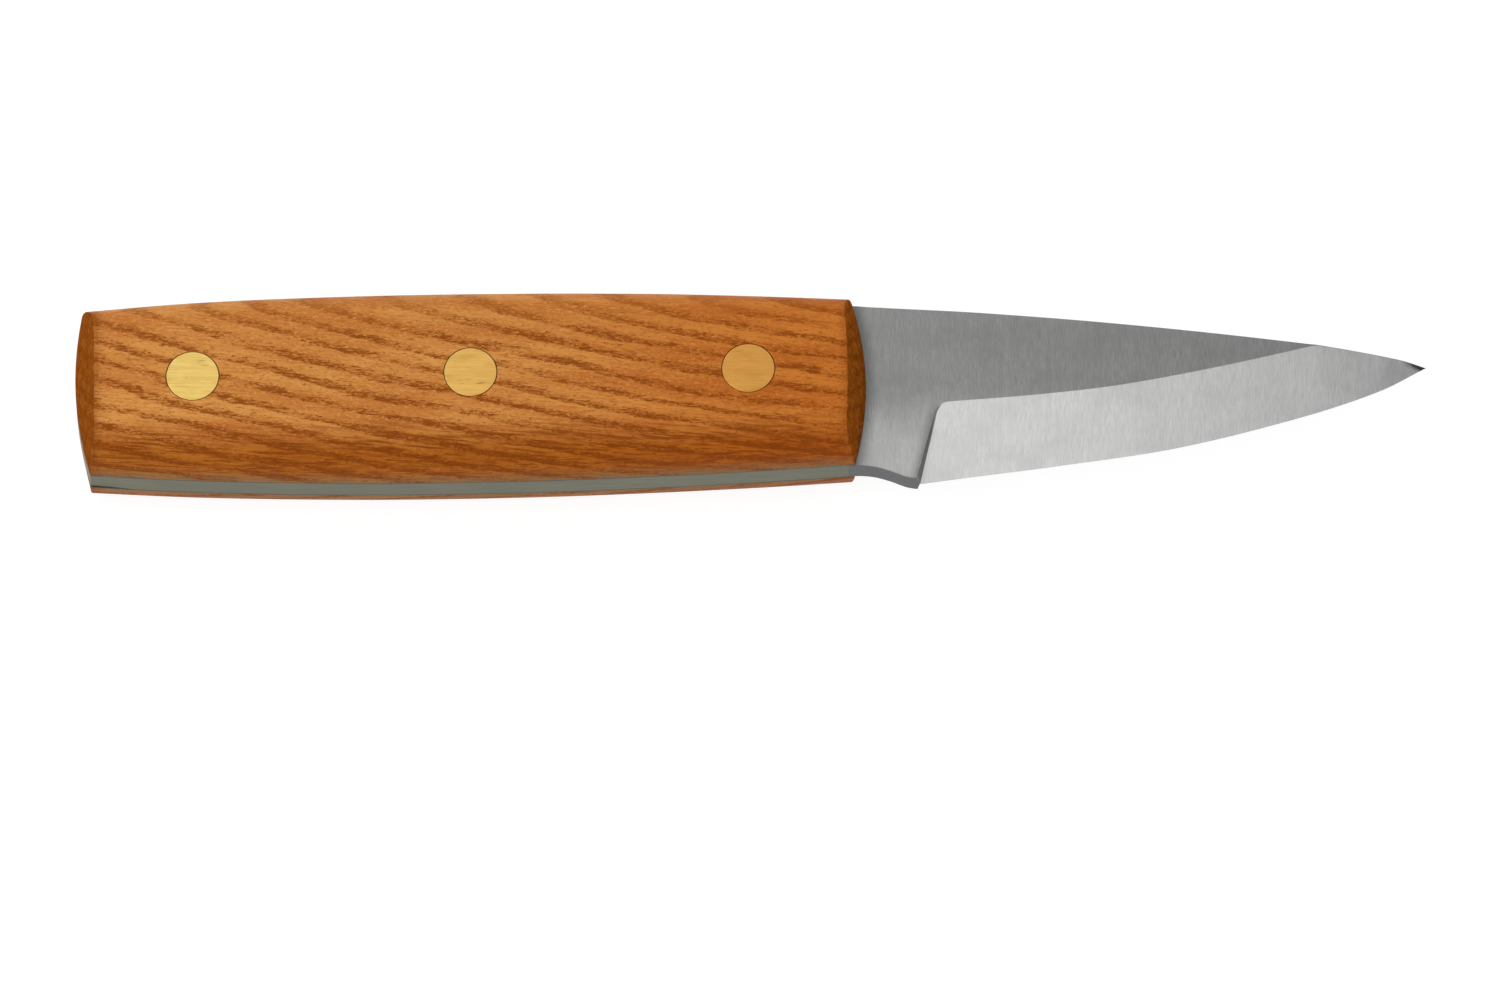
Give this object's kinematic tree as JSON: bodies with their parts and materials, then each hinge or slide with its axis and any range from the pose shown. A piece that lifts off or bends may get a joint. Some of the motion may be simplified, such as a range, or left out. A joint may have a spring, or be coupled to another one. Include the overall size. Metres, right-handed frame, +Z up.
{
  "type": "whittling knife",
  "caption": "Fixed-blade whittling knife with a full tang, oiled wooden scales, flush brass pins and a short straight-ground carving blade.",
  "frame": {"origin": "centre of the middle pin's lower end, on the flat side face that the knife lies on", "axes": "+X from the butt to the blade's tip, +Y from the cutting edge to the spine, +Z up through the handle's thickness"},
  "size_m": [0.1632, 0.0246, 0.0145],
  "materials": {
    "stainless_steel": "flats and bevels belt-ground across the blade, fine satin lines",
    "oiled_wood": "ring-porous hardwood, sanded and oiled, open dark pores, satin",
    "brass": "solid rod sanded flush with the wood, fine straight lines",
    "epoxy": "dark cured adhesive, sanded flush at the edges"
  },
  "bodies": {
    "root": {"blade_with_tang": "stainless_steel", "upper_scale": "oiled_wood", "lower_scale": "oiled_wood", "upper_glue_film": "epoxy", "lower_glue_film": "epoxy", "butt_pin": "brass", "middle_pin": "brass", "front_pin": "brass"}
  },
  "joints": []
}
